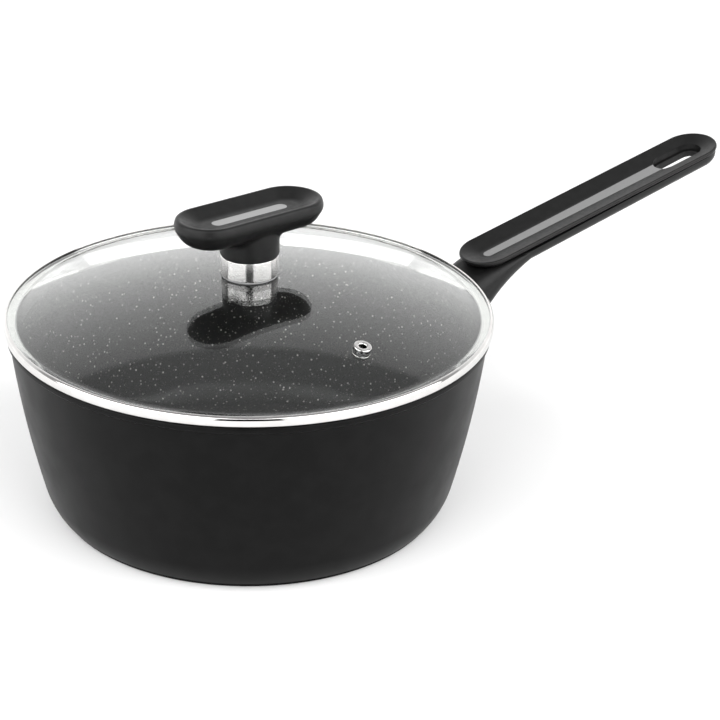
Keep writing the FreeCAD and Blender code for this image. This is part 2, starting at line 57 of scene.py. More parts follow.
# %% Read the main sizes
MM = 0.001
pot_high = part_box("pot_body")[1]
rim_low, rim_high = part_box("lid_rim")
glass_low, glass_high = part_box("lid_glass")
ferrule_low, ferrule_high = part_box("knob_ferrule")
disc_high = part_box("induction_disc")[1]
pot_height = pot_high.z
rim_radius = pot_high.x
lid_radius = rim_high.x
glass_radius = glass_high.x
print("pot", round(pot_height / MM, 1), "mm high,", round(2 * rim_radius / MM, 1), "mm across its rim")

# %% [markdown]
# ## Drawing an outline
# A lathe needs half of a cross-section: a row of points, each with a distance from the axis and a height.
# Two small helpers draw the round stretches. `arc` goes from one point to another about a centre, and
# `rounded` walks round a list of corners and swaps each sharp corner for an arc that touches both sides.


# %% Outline helpers
def arc(centre, start, end, steps):
    """Points on the short way round centre, from start to end, both included."""
    first = start - centre
    turn = first.angle_signed(end - centre) * -1
    return [centre + Matrix.Rotation(turn * step / steps, 2) @ first for step in range(steps + 1)]


def circle_through(first, second, third):
    """Centre of the circle that passes through three points."""
    middle_a = (first + second) / 2
    middle_b = (second + third) / 2
    across_a = (second - first).orthogonal()
    across_b = (third - second).orthogonal()
    gap = middle_b - middle_a
    share = gap.cross(across_b) / across_a.cross(across_b)
    return middle_a + across_a * share


def rounded(corners, steps=6, closed=True):
    """Outline through corners of (distance, height, rounding), with an arc in place of each rounded one."""
    count = len(corners)
    points = []
    for index, (distance, height, rounding) in enumerate(corners):
        here = Vector((distance, height))
        is_end = not closed and index in (0, count - 1)
        if rounding == 0 or is_end:
            points.append(here)
            continue
        back = (Vector(corners[index - 1][:2]) - here).normalized()
        onward = (Vector(corners[(index + 1) % count][:2]) - here).normalized()
        half = back.angle(onward) / 2
        reach = rounding / math.tan(half)
        centre = here + (back + onward).normalized() * (rounding / math.sin(half))
        points += arc(centre, here + back * reach, here + onward * reach, steps)
    return points


# %% [markdown]
# ## The lathe
# The outline becomes a chain of edges in a bmesh, and `bmesh.ops.spin` carries it once round the axis.
# The seam and the points on the axis are merged, and only then are the normals turned outwards. A closed
# outline makes a ring, and one that starts and ends on the axis makes a solid of revolution.


# %% Lathe and finishing helpers
FULL_TURN = 2 * math.pi
WELD = 0.002 * MM
SHARP_FOLD = 50                    # degrees; gentler folds in thin metal are shaded as one surface


def turned(outline, segments, closed=True):
    """A bmesh made by spinning an outline about the Z axis."""
    shape = bmesh.new()
    corners = [shape.verts.new((place.x, 0, place.y)) for place in outline]
    pairs = list(zip(corners, corners[1:]))
    if closed:
        pairs.append((corners[-1], corners[0]))
    chain = [shape.edges.new(pair) for pair in pairs]
    bmesh.ops.spin(shape, geom=corners + chain, cent=(0, 0, 0), axis=(0, 0, 1), angle=FULL_TURN,
                   steps=segments, use_merge=True)
    bmesh.ops.remove_doubles(shape, verts=shape.verts, dist=WELD)
    bmesh.ops.recalc_face_normals(shape, faces=shape.faces)
    return shape


def finish_piece(name, shape, materials, body, stands_for=(), crease=35):
    """Turn a bmesh into a piece that rides on a body, smooth except along its sharper edges."""
    mesh = bpy.data.meshes.new(name)
    shape.to_mesh(mesh)
    shape.free()
    for material in materials:
        mesh.materials.append(material)
    mesh.shade_smooth()
    mesh.set_sharp_from_angle(angle=math.radians(crease))
    piece = bpy.data.objects.new(name, mesh)
    bpy.context.scene.collection.objects.link(piece)
    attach(piece, body)
    if stands_for:
        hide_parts(*stands_for)
    print(name, len(mesh.polygons), "faces")
    return piece


# %% [markdown]
# ## Building a finish from nodes
# Every material starts from a Principled shader. Values that are the same all over are set on its sockets.
# What varies is made by textures that read Object coordinates, so a pattern is measured in metres and stays
# fixed to the piece. Four helpers cover most finishes: a mottled colour, an uneven gloss, a fine grain and
# turning lines.


# %% Material helpers
def new_material(name, **values):
    """A material with a Principled shader whose sockets are set from the given values."""
    material = bpy.data.materials.new(name)
    material.use_nodes = True
    shader = material.node_tree.nodes["Principled BSDF"]
    for socket, value in values.items():
        shader.inputs[socket.replace("_", " ")].default_value = value
    return material


def node(material, kind, **values):
    """Add a node and set the inputs that are named."""
    made = material.node_tree.nodes.new(kind)
    for socket, value in values.items():
        made.inputs[socket.replace("_", " ")].default_value = value
    return made


def link(material, source, target):
    material.node_tree.links.new(source, target)


def shader_of(material):
    return material.node_tree.nodes["Principled BSDF"]


def place_of(material):
    """Output with the point's own place on the piece, in metres."""
    found = material.node_tree.nodes.get("Place")
    if found is None:
        found = material.node_tree.nodes.new("ShaderNodeTexCoord")
        found.name = "Place"
    return found.outputs["Object"]


def noise(material, size, detail=3.0, place=None):
    """Noise whose blotches are about size metres across."""
    made = node(material, "ShaderNodeTexNoise", Scale=1 / size, Detail=detail)
    link(material, place or place_of(material), made.inputs["Vector"])
    return made.outputs["Fac"]


def grey(level, warmth=0.0):
    """Colour of a grey level, a little redder and less blue when warmth is above 0."""
    return (level * (1 + warmth), level, level * (1 - warmth), 1.0)


def mix_colours(material, factor, first, second):
    """Blend two colours by a factor; either colour may be a fixed value or a node's output."""
    made = material.node_tree.nodes.new("ShaderNodeMix")
    made.data_type = "RGBA"
    link(material, factor, made.inputs["Factor"])
    for socket, colour in (("A", first), ("B", second)):
        target = next(s for s in made.inputs if s.name == socket and s.type == "RGBA")
        if isinstance(colour, tuple):
            target.default_value = colour
        else:
            link(material, colour, target)
    return next(s for s in made.outputs if s.type == "RGBA")


def spread(material, source, low, high, to_low=0.0, to_high=1.0):
    """Stretch the part of source between low and high to a new range, smoothly."""
    made = node(material, "ShaderNodeMapRange", From_Min=low, From_Max=high, To_Min=to_low, To_Max=to_high)
    made.interpolation_type = "SMOOTHSTEP"
    link(material, source, made.inputs["Value"])
    return made.outputs["Result"]


def mottle(material, dark, light, size):
    """Let the base colour drift between two colours in soft blotches."""
    factor = spread(material, noise(material, size), 0.35, 0.65)
    link(material, mix_colours(material, factor, dark, light), shader_of(material).inputs["Base Color"])


def uneven_gloss(material, smooth, rough, size):
    """Let the roughness drift between two values."""
    factor = spread(material, noise(material, size, 4.0), 0.3, 0.7, smooth, rough)
    link(material, factor, shader_of(material).inputs["Roughness"])


def raise_bump(material, height, depth, strength=1.0):
    """Use a height between 0 and 1 as relief of the given depth in metres."""
    bump = node(material, "ShaderNodeBump", Strength=strength, Distance=depth)
    link(material, height, bump.inputs["Height"])
    shader = shader_of(material)
    if shader.inputs["Normal"].is_linked:
        link(material, shader.inputs["Normal"].links[0].from_socket, bump.inputs["Normal"])
    link(material, bump.outputs["Normal"], shader.inputs["Normal"])


def grain(material, size, depth, strength=1.0):
    """Fine random relief, as on moulded plastic or sprayed lacquer."""
    raise_bump(material, noise(material, size, 2.0), depth, strength)


def turning_lines(material, pitch, depth, strength=1.0):
    """Fine rings round the Z axis, left by a lathe or a polishing wheel."""
    split = material.node_tree.nodes.new("ShaderNodeSeparateXYZ")
    link(material, place_of(material), split.inputs["Vector"])
    reach = node(material, "ShaderNodeCombineXYZ")
    link(material, split.outputs["X"], reach.inputs["X"])
    link(material, split.outputs["Y"], reach.inputs["Y"])
    radius = material.node_tree.nodes.new("ShaderNodeVectorMath")
    radius.operation = "LENGTH"
    link(material, reach.outputs["Vector"], radius.inputs[0])
    flat = node(material, "ShaderNodeCombineXYZ")
    link(material, radius.outputs["Value"], flat.inputs["X"])
    link(material, split.outputs["Z"], flat.inputs["Z"])
    raise_bump(material, noise(material, pitch, 2.0, flat.outputs["Vector"]), depth, strength)


# %% [markdown]
# ## The outside lacquer
# The pot is sprayed with a matt black lacquer and baked. It is nearly black when seen square on, and catches
# the bright room only at a glancing angle. A low specular level keeps the front dark, and the roughness
# decides how soft the bright edges are. The orange-peel relief of the spray is a few thousandths of a
# millimetre deep.

# %% Outside lacquer
black_lacquer = new_material("black_lacquer", Specular_IOR_Level=0.10)
mottle(black_lacquer, grey(0.0020), grey(0.0032), 9 * MM)
uneven_gloss(black_lacquer, 0.36, 0.42, 14 * MM)
grain(black_lacquer, 0.7 * MM, 0.006 * MM, 0.5)

# %% [markdown]
# ## The speckled non-stick coating
# Stone-look coatings are sprayed in two passes: a charcoal ground, then a spatter of pale drops. Two
# Voronoi textures make the drops. Each cell has one centre at a random place in space, and only the centres
# that lie close to the surface show, which gives drops of many sizes. Noise bends their outlines, and the
# cell's random colour makes some of them fainter.


# %% Speckled coating
def drops(material, spacing, radius, bend):
    """Mask of pale drops: 1 inside a drop, 0 outside, with a random strength for each."""
    wobble = node(material, "ShaderNodeTexNoise", Scale=1.0 / (0.6 * radius), Detail=1.0)
    link(material, place_of(material), wobble.inputs["Vector"])
    shift = material.node_tree.nodes.new("ShaderNodeVectorMath")
    shift.operation = "MULTIPLY_ADD"
    link(material, wobble.outputs["Color"], shift.inputs[0])
    shift.inputs[1].default_value = (bend, bend, bend)
    link(material, place_of(material), shift.inputs[2])
    cells = node(material, "ShaderNodeTexVoronoi", Scale=1 / spacing)
    link(material, shift.outputs["Vector"], cells.inputs["Vector"])
    inside = spread(material, cells.outputs["Distance"], radius / spacing, 0.45 * radius / spacing)
    strength = material.node_tree.nodes.new("ShaderNodeSeparateColor")
    link(material, cells.outputs["Color"], strength.inputs["Color"])
    shown = material.node_tree.nodes.new("ShaderNodeMath")
    shown.operation = "MULTIPLY"
    link(material, inside, shown.inputs[0])
    link(material, strength.outputs["Red"], shown.inputs[1])
    return shown.outputs["Value"]


speckled_coating = new_material("speckled_coating", Specular_IOR_Level=0.35)
ground = mix_colours(speckled_coating, spread(speckled_coating, noise(speckled_coating, 2.5 * MM), 0.3, 0.7),
                     grey(0.011), grey(0.016))
large_drops = drops(speckled_coating, 2.3 * MM, 0.56 * MM, 0.35 * MM)
small_drops = drops(speckled_coating, 0.95 * MM, 0.21 * MM, 0.10 * MM)
dusted = mix_colours(speckled_coating, small_drops, ground, grey(0.34, 0.03))
spattered = mix_colours(speckled_coating, large_drops, dusted, grey(0.66, 0.04))
link(speckled_coating, spattered, shader_of(speckled_coating).inputs["Base Color"])
uneven_gloss(speckled_coating, 0.42, 0.52, 6 * MM)
grain(speckled_coating, 0.5 * MM, 0.01 * MM, 0.4)

# %% [markdown]
# ## Soft-touch black
# The handle and the knob are moulded in a hard plastic and coated with a soft, matt skin. The skin has a
# fine even grain of about a fifth of a millimetre, which spreads highlights without making them sparkle.

# %% Soft-touch black
soft_touch = new_material("soft_touch", Specular_IOR_Level=0.24)
mottle(soft_touch, grey(0.0050), grey(0.0072), 3.5 * MM)
uneven_gloss(soft_touch, 0.36, 0.44, 2 * MM)
grain(soft_touch, 0.22 * MM, 0.012 * MM, 0.8)

# %% [markdown]
# ## The grey inlays
# A strip of lighter plastic is let into the dish of the handle, and a shorter one into the knob. They have a
# satin face with faint draw lines along their length, which is a noise squeezed on one axis.


# %% Grey inlay finishes
def satin_grey(name, level):
    """Satin plastic with faint lines along X."""
    material = new_material(name, Roughness=0.42, Specular_IOR_Level=0.4)
    squeeze = node(material, "ShaderNodeMapping", Scale=(0.04, 1.0, 1.0))
    link(material, place_of(material), squeeze.inputs["Vector"])
    lines = noise(material, 0.3 * MM, 2.0, squeeze.outputs["Vector"])
    tone = mix_colours(material, spread(material, lines, 0.3, 0.7), grey(level * 0.96), grey(level * 1.04))
    link(material, tone, shader_of(material).inputs["Base Color"])
    raise_bump(material, lines, 0.004 * MM, 0.5)
    return material


handle_grey = satin_grey("handle_inlay_grey", 0.185)
knob_grey = satin_grey("knob_inlay_grey", 0.26)

# %% [markdown]
# ## Steel, brass and aluminium
# The lid rim and eyelet are polished stainless steel, with hair-fine lines round the axis from the wheel. The
# ferrule is brushed round its axis. Such lines scatter light up and down but not sideways, so its tangent is
# upright and its gloss is stretched that way. The induction disc is brushed too, and the screws have a dull
# machined face. The lug is sand-cast aluminium, and the threaded insert is brass.


# %% Metal finishes
def metal(name, colour, smooth, rough, blotch=5 * MM):
    """A metal whose gloss drifts between two roughness values."""
    material = new_material(name, Metallic=1.0, Base_Color=colour)
    uneven_gloss(material, smooth, rough, blotch)
    darker = tuple(channel * 0.93 for channel in colour[:3]) + (1.0,)
    mottle(material, darker, colour, blotch)
    return material


polished_steel = metal("polished_steel", grey(0.68, 0.015), 0.05, 0.09)
turning_lines(polished_steel, 0.10 * MM, 0.0004 * MM, 0.3)
brushed_steel = metal("brushed_steel", grey(0.60, 0.01), 0.26, 0.34)
turning_lines(brushed_steel, 0.20 * MM, 0.004 * MM, 0.8)
ferrule_steel = metal("ferrule_steel", grey(0.74, 0.012), 0.19, 0.23)
upright = node(ferrule_steel, "ShaderNodeCombineXYZ", Z=1.0)
link(ferrule_steel, upright.outputs["Vector"], shader_of(ferrule_steel).inputs["Tangent"])
shader_of(ferrule_steel).inputs["Anisotropic"].default_value = 0.9
turning_lines(ferrule_steel, 0.12 * MM, 0.001 * MM, 0.12)
fastener_steel = metal("fastener_steel", grey(0.52, 0.01), 0.22, 0.36, 1.5 * MM)
grain(fastener_steel, 0.25 * MM, 0.004 * MM, 0.6)
cast_aluminium = metal("cast_aluminium", grey(0.62), 0.42, 0.58, 2 * MM)
grain(cast_aluminium, 0.5 * MM, 0.03 * MM, 0.8)
turned_brass = metal("turned_brass", (0.72, 0.50, 0.22, 1.0), 0.20, 0.30)
turning_lines(turned_brass, 0.25 * MM, 0.004 * MM)

# %% [markdown]
# ## Seals
# A bead of grey silicone holds the glass in its rim, and a paler ring of it lies between the ferrule and the
# glass. Dark rubber rings sit under the knob's washer and at the vent. All are soft and nearly matt.

# %% Seal finishes
grey_silicone = new_material("grey_silicone", Specular_IOR_Level=0.45)
mottle(grey_silicone, grey(0.10), grey(0.13), 4 * MM)
uneven_gloss(grey_silicone, 0.35, 0.5, 3 * MM)
grain(grey_silicone, 0.8 * MM, 0.02 * MM, 0.6)
clear_silicone = new_material("clear_silicone", Specular_IOR_Level=0.45)
mottle(clear_silicone, grey(0.30), grey(0.36), 2 * MM)
uneven_gloss(clear_silicone, 0.30, 0.40, 2 * MM)
grain(clear_silicone, 0.4 * MM, 0.01 * MM, 0.5)
black_rubber = new_material("black_rubber", Specular_IOR_Level=0.35)
mottle(black_rubber, grey(0.018), grey(0.026), 2 * MM)
uneven_gloss(black_rubber, 0.55, 0.7, 2 * MM)
grain(black_rubber, 0.3 * MM, 0.02 * MM, 0.8)

# %% [markdown]
# ## Tempered glass
# The glass is a real, closed, 3.5 mm thick piece, so each of its two faces reflects the room once. That is
# what gives the doubled edges in the knob's mirror image. It is clear, with the faint green of soda-lime
# glass drifting a little in depth from place to place.

# %% Glass finish
lid_glass = new_material("tempered_glass", Transmission_Weight=1.0, IOR=1.5, Roughness=0.0)
mottle(lid_glass, (0.955, 0.975, 0.965, 1.0), (0.97, 0.985, 0.975, 1.0), 30 * MM)

# %% [markdown]
# ## The pot
# The real pot is pressed from one thick aluminium disc: a gently bowed wall, a wide round corner to the base,
# a low foot, and a proud band at the rim. One outline takes in the outside, the rim and the inside, so the
# wall has its real thickness. The faces inside the wall's middle line then get the coating, and the rest the
# lacquer.

# %% Pot outline
wall_thickness = 3.0 * MM
floor_thickness = 5.0 * MM
outer_corner = 28.0 * MM
inner_corner = 11.0 * MM
rim_rounding = 1.1 * MM
band_height = 3.6 * MM
foot_radius = 83.9 * MM
foot_height = 1.8 * MM
foot_edge = 0.5 * MM
fine_edge = 0.3 * MM
pot_segments = 200
wall_low = Vector((90.05, 12.0)) * MM
wall_middle = Vector((96.4, 40.0)) * MM
wall_high = Vector((101.9, 75.0)) * MM
bow_centre = circle_through(wall_low, wall_middle, wall_high)
bow_radius = (wall_low - bow_centre).length
axis_below = Vector((0, disc_high.z))


def wall_at(height, inset=0.0):
    """Point of the wall at a height, inset from its outer face."""
    rise = height - bow_centre.y
    return Vector((bow_centre.x + math.sqrt((bow_radius - inset) ** 2 - rise ** 2), height))


def pot_outline():
    """From the axis under the base, out and up, over the rim, and down the inside to the axis."""
    corner_centre = wall_low + (bow_centre - wall_low).normalized() * outer_corner
    drop = foot_height - corner_centre.y
    corner_start = Vector((corner_centre.x + math.sqrt(outer_corner ** 2 - drop ** 2), foot_height))
    band_start = wall_at(pot_height - band_height)
    band_step = rim_radius - band_start.x
    points = [axis_below]
    points += rounded([(disc_high.x, disc_high.z, 0), (disc_high.x, 0, fine_edge),
                       (foot_radius, 0, foot_edge), (foot_radius, foot_height, 0)], 3, closed=False)
    points += arc(corner_centre, corner_start, wall_low, 24)
    points += arc(bow_centre, wall_low, band_start, 48)[1:]
    wall_end = wall_at(pot_height - 2 * rim_rounding, wall_thickness)
    rim_top = rounded([(band_start.x, band_start.y, 0),
                       (rim_radius, pot_height - band_height + band_step, fine_edge),
                       (rim_radius, pot_height, rim_rounding),
                       (wall_at(pot_height, wall_thickness).x, pot_height, rim_rounding),
                       (wall_end.x, wall_end.y, 0)], 7, closed=False)
    points += rim_top[1:-1]
    return points + inside_outline()


def inside_outline():
    """Down the wall's inner face, round the corner, and along the floor to the axis."""
    reach = bow_radius - wall_thickness - inner_corner
    height = floor_thickness + inner_corner
    centre = Vector((bow_centre.x + math.sqrt(reach ** 2 - (height - bow_centre.y) ** 2), height))
    corner_start = bow_centre + (centre - bow_centre).normalized() * (bow_radius - wall_thickness)
    floor_edge = Vector((centre.x, floor_thickness))
    wall_start = wall_at(pot_height - 2 * rim_rounding, wall_thickness)
    points = arc(bow_centre, wall_start, corner_start, 40)
    points += arc(centre, corner_start, floor_edge, 14)[1:]
    rings = 10
    points += [floor_edge.lerp(Vector((0, floor_thickness)), step / rings) for step in range(1, rings + 1)]
    return points


pot_shape = turned(pot_outline(), pot_segments, closed=False)
middle_inset = wall_thickness / 2
for face in pot_shape.faces:
    middle = face.calc_center_median()
    inside = math.hypot(middle.x, middle.y) < wall_at(middle.z, middle_inset).x
    face.material_index = 1 if inside and middle.z > floor_thickness - WELD else 0
finish_piece("pot_shell", pot_shape, [black_lacquer, speckled_coating], "pan", ["pot_body"])

# %% [markdown]
# ## Coined pips in the base
# The steel disc under the pot has rings of small holes, and the aluminium is squeezed up into them when the
# disc is pressed on. Each pip is a short cone frustum with its face just inside the hole.

# %% Base pips
pip_radius = 1.9 * MM
pip_height = 0.7 * MM
pip_draft = 0.95                   # a pip's inner end, as a share of its face
pip_spacing = 12.5 * MM
pip_rings = [radius * MM for radius in (20.0, 32.0, 44.0, 56.0)]
pip_shape = bmesh.new()
for ring_radius in pip_rings:
    count = round(FULL_TURN * ring_radius / pip_spacing)
    for index in range(count):
        turn = Matrix.Rotation(FULL_TURN * index / count, 4, "Z")
        place = turn @ Matrix.Translation((ring_radius, 0, disc_high.z - pip_height / 2))
        bmesh.ops.create_cone(pip_shape, cap_ends=True, segments=24, radius1=pip_radius * pip_draft,
                              radius2=pip_radius, depth=pip_height, matrix=place)
finish_piece("base_pips", pip_shape, [cast_aluminium], "pan")

# %% [markdown]
# ## The lid glass
# The lid is a slumped glass dome with a flat brim that the rim grips. Both faces are arcs about one centre.
# The knob's hole comes from starting the outline away from the axis. The vent hole is cut after the spin:
# the faces round it are deleted on both sides, the open edge is drawn in to a circle, and the two circles
# are bridged through the glass.

# %% Glass outline
glass_thickness = 3.5 * MM
brim_top = glass_low.z + glass_thickness
brim_width = 4.1 * MM
brim_blend = 8.0 * MM
dome_rise = 17.35 * MM
knob_hole_radius = 4.5 * MM
glass_edge = 1.0 * MM
lid_segments = 240
dome_foot = glass_radius - brim_width
dome_radius = (dome_foot ** 2 + dome_rise ** 2) / (2 * dome_rise)
dome_centre = Vector((0, brim_top + dome_rise - dome_radius))


def dome_point(distance, radius):
    """Point of a dome face at a distance from the axis."""
    return Vector((distance, dome_centre.y + math.sqrt(radius ** 2 - distance ** 2)))


def glass_outline():
    """Closed outline: over the top, round the ground edge, and back under."""
    height = brim_top + brim_blend
    run = math.sqrt((dome_radius + brim_blend) ** 2 - (height - dome_centre.y) ** 2)
    blend_centre = Vector((run, height))
    outward = (blend_centre - dome_centre).normalized()
    under = dome_radius - glass_thickness
    top_join = dome_centre + outward * dome_radius
    under_join = dome_centre + outward * under
    points = arc(dome_centre, dome_point(knob_hole_radius, dome_radius), top_join, 44)
    points += arc(blend_centre, top_join, Vector((run, brim_top)), 6)[1:]
    inset = glass_radius - glass_edge
    upper = brim_top - glass_edge
    lower = glass_low.z + glass_edge
    points += arc(Vector((inset, upper)), Vector((inset, brim_top)), Vector((glass_radius, upper)), 5)
    points += arc(Vector((inset, lower)), Vector((glass_radius, lower)), Vector((inset, glass_low.z)), 5)
    points += arc(blend_centre, Vector((run, glass_low.z)), under_join, 6)
    points += arc(dome_centre, under_join, dome_point(knob_hole_radius, under), 44)[1:]
    return points


vent_distance = 72.6 * MM
vent_angle = math.radians(-84.0)
vent_tilt = math.asin(vent_distance / dome_radius)
vent_place = (Matrix.Translation((0, 0, dome_centre.y)) @ Matrix.Rotation(vent_angle, 4, "Z")
              @ Matrix.Rotation(vent_tilt, 4, "Y") @ Matrix.Translation((0, 0, dome_radius)))
vent_hole_radius = 2.8 * MM


def cut_vent_hole(shape, clearing=5.0 * MM):
    """Open a round hole through both faces of the glass, square to it."""
    to_vent = vent_place.inverted()

    def off_axis(place):
        return (to_vent @ place).xy.length

    cleared = [face for face in shape.faces if off_axis(face.calc_center_median()) < clearing]
    bmesh.ops.delete(shape, geom=cleared, context="FACES")
    open_edges = [edge for edge in shape.edges if edge.is_boundary]
    drawn_in = bmesh.ops.extrude_edge_only(shape, edges=open_edges)["geom"]
    for corner in [item for item in drawn_in if isinstance(item, bmesh.types.BMVert)]:
        local = to_vent @ corner.co
        share = vent_hole_radius / local.xy.length
        corner.co = vent_place @ Vector((local.x * share, local.y * share, local.z))
        on_top = local.z > -glass_thickness / 2
        face_radius = dome_radius if on_top else dome_radius - glass_thickness
        from_centre = corner.co - Vector((0, 0, dome_centre.y))
        corner.co = Vector((0, 0, dome_centre.y)) + from_centre.normalized() * face_radius
    rims = [item for item in drawn_in if isinstance(item, bmesh.types.BMEdge)]
    bmesh.ops.bridge_loops(shape, edges=rims)
    bmesh.ops.recalc_face_normals(shape, faces=shape.faces)


glass_shape = turned(glass_outline(), lid_segments)
cut_vent_hole(glass_shape)
finish_piece("domed_glass", glass_shape, [lid_glass], "lid", ["lid_glass"])

# %% [markdown]
# ## The lid rim
# A strip of thin steel is rolled round the glass: a lip on top, an upright band, a seat under the glass, and
# a spigot that drops inside the pot and keeps the lid central. The outline is the strip's own cross-section,
# so it stays open towards the glass. Small roundings at each fold catch the light as real bends do.

# %% Lid rim
sheet = 0.5 * MM
lip_width = 1.7 * MM
spigot_flare = 2.0 * MM
spigot_clearance = 0.75 * MM
lid_gap = 0.3 * MM
spigot_top = wall_at(pot_height, wall_thickness).x - spigot_clearance
spigot_foot = spigot_top - spigot_flare
seat = pot_height + lid_gap
band_inner = lid_radius - sheet
cut_edge = 0.15 * MM
rim_corners = [
    (spigot_foot - sheet, rim_low.z, cut_edge),
    (spigot_foot, rim_low.z, cut_edge),
    (spigot_top, seat, sheet),
    (lid_radius, seat, 3 * sheet),
    (lid_radius, rim_high.z, 3 * sheet),
    (lid_radius - lip_width, rim_high.z, cut_edge),
    (lid_radius - lip_width, rim_high.z - sheet, cut_edge),
    (band_inner, rim_high.z - sheet, 2 * sheet),
    (band_inner, seat + sheet, 2 * sheet),
    (spigot_top - sheet, seat + sheet, 2 * sheet),
]
finish_piece("rolled_rim", turned(rounded(rim_corners, 6), lid_segments), [polished_steel], "lid",
             ["lid_rim"], crease=SHARP_FOLD)

# %% [markdown]
# ## Ferrule and steam vent
# Both are small turned pieces. The ferrule is a plain band between the knob and the glass. The vent is an
# eyelet, flared over at both ends, made on the axis first and then carried to its place in the glass with one
# matrix, because a finished piece keeps its place in its mesh.

# %% Ferrule
ferrule_wall = 1.0 * MM
ferrule_edge = 0.35 * MM
ferrule_segments = 128
ferrule_corners = [
    (ferrule_high.x - ferrule_wall, ferrule_low.z, fine_edge),
    (ferrule_high.x, ferrule_low.z, ferrule_edge),
    (ferrule_high.x, ferrule_high.z, ferrule_edge),
    (ferrule_high.x - ferrule_wall, ferrule_high.z, fine_edge),
]
finish_piece("steel_ferrule", turned(rounded(ferrule_corners, 5), ferrule_segments), [ferrule_steel], "lid",
             ["knob_ferrule"], crease=SHARP_FOLD)

# %% Steam vent eyelet
vent_bore = 1.65 * MM
vent_tube = 2.5 * MM
flange = 3.8 * MM
flange_thickness = 0.8 * MM
washer_above = 0.3 * MM
washer_below = 0.6 * MM
flange_edge = 0.25 * MM
neck_corner = 0.1 * MM
mouth_rounding = 0.6 * MM
flared_rounding = 0.55 * MM
eyelet_segments = 64
seat_under = -glass_thickness - washer_below
eyelet_low = seat_under - flange_thickness
eyelet_high = washer_above + flange_thickness
eyelet_corners = [
    (vent_bore, eyelet_low, fine_edge),
    (flange, eyelet_low, fine_edge),
    (flange, seat_under, flange_edge),
    (vent_tube, seat_under, neck_corner),
    (vent_tube, washer_above, neck_corner),
    (flange, washer_above, flange_edge),
    (flange, eyelet_high, flared_rounding),
    (vent_bore, eyelet_high, mouth_rounding),
]
eyelet_shape = turned(rounded(eyelet_corners, 6), eyelet_segments)
bmesh.ops.transform(eyelet_shape, matrix=vent_place, verts=eyelet_shape.verts)
finish_piece("vent_flared_eyelet", eyelet_shape, [polished_steel], "lid", ["vent_eyelet"],
             crease=SHARP_FOLD)

# %% [markdown]
# ## Pieces kept from the CAD model
# The handle, the knob, their inlays, the seals and the fasteners already have their true shape, so they keep
# their meshes and only get a finish. One table says which.

# %% Finishes for the kept pieces
kept_finishes = {
    "handle_grip": soft_touch,
    "knob_body": soft_touch,
    "handle_inlay": handle_grey,
    "knob_inlay": knob_grey,
    "induction_disc": brushed_steel,
    "handle_lug": cast_aluminium,
    "handle_screw": fastener_steel,
    "handle_spring_washer": fastener_steel,
    "knob_screw": fastener_steel,
    "knob_washer": fastener_steel,
    "knob_insert": turned_brass,
    "rim_sealant": grey_silicone,
    "vent_washers": black_rubber,
    "knob_gasket_upper": clear_silicone,
    "knob_gasket_lower": black_rubber,
}
for name, material in kept_finishes.items():
    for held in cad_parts[name].material_slots:
        held.material = material

# %% [markdown]
# ## Directions in the studio
# Everything round the saucepan is placed by where the camera stands. Two level directions are enough: from the
# pot towards the camera, and the camera's right.

# %% Camera directions
camera_azimuth = math.radians(-33.0)
camera_elevation = math.radians(25.12)
camera_distance = 1.0
towards_camera = Vector((math.sin(camera_azimuth), -math.cos(camera_azimuth), 0))
camera_right = Vector((math.cos(camera_azimuth), math.sin(camera_azimuth), 0))
print("the camera stands towards", tuple(round(value, 3) for value in towards_camera))

# %% [markdown]
# ## Floor
# The floor is a pale matt sheet, a hair below the pot so that the two never share a face. The soft boxes don't
# reach its far parts, so a faint glow that grows with distance keeps it pale to the horizon.


# %% Floor
def studio_sheet(name, shape, material):
    """An object of the studio made from a bmesh."""
    mesh = bpy.data.meshes.new(name)
    shape.to_mesh(mesh)
    shape.free()
    mesh.materials.append(material)
    made = bpy.data.objects.new(name, mesh)
    bpy.context.scene.collection.objects.link(made)
    print(name, len(mesh.polygons), "faces")
    return made


floor_half = 6.0
floor_drop = 0.2 * MM
glow_start, glow_full, far_glow = 0.8, 2.4, 0.7
floor_paint = new_material("pale_floor", Roughness=0.7, Specular_IOR_Level=0.2, Emission_Color=grey(1.0))
mottle(floor_paint, grey(0.86), grey(0.88), 0.25)
reach = node(floor_paint, "ShaderNodeVectorMath")
reach.operation = "LENGTH"
link(floor_paint, place_of(floor_paint), reach.inputs[0])
link(floor_paint, spread(floor_paint, reach.outputs["Value"], glow_start, glow_full, 0.0, far_glow),
     shader_of(floor_paint).inputs["Emission Strength"])
floor_shape = bmesh.new()
bmesh.ops.create_grid(floor_shape, x_segments=8, y_segments=8, size=floor_half)
floor = studio_sheet("floor", floor_shape, floor_paint)
floor.location.z = -floor_drop

# %% [markdown]
# ## The room
# A white card behind the pan reaches about 48 degrees up and grows dimmer towards its top. It is what the glass
# mirrors, so its top edge draws the line across the lid. The ceiling is dimmer still, and falls to near black
# over the camera. The world's own shader draws all of this from the direction alone, and shows plain white to
# the camera itself.

# %% The room's light
room = bpy.data.worlds.new("studio")
room.use_nodes = True
bpy.context.scene.world = room
tree = room.node_tree
background = tree.nodes["Background"]
background.inputs["Color"].default_value = grey(1.0)


def room_math(operation, first, second):
    """One math node of the room's tree; an input is a number or another node's output."""
    made = tree.nodes.new("ShaderNodeMath")
    made.operation = operation
    for socket, value in zip(made.inputs, (first, second)):
        if isinstance(value, (int, float)):
            socket.default_value = value
        else:
            tree.links.new(value, socket)
    return made.outputs["Value"]


def room_ramp(source, low, high, to_low, to_high):
    """Straight ramp from one range of values to another."""
    made = tree.nodes.new("ShaderNodeMapRange")
    tree.links.new(source, made.inputs["Value"])
    for socket, value in (("From Min", low), ("From Max", high), ("To Min", to_low), ("To Max", to_high)):
        made.inputs[socket].default_value = value
    return made.outputs["Result"]


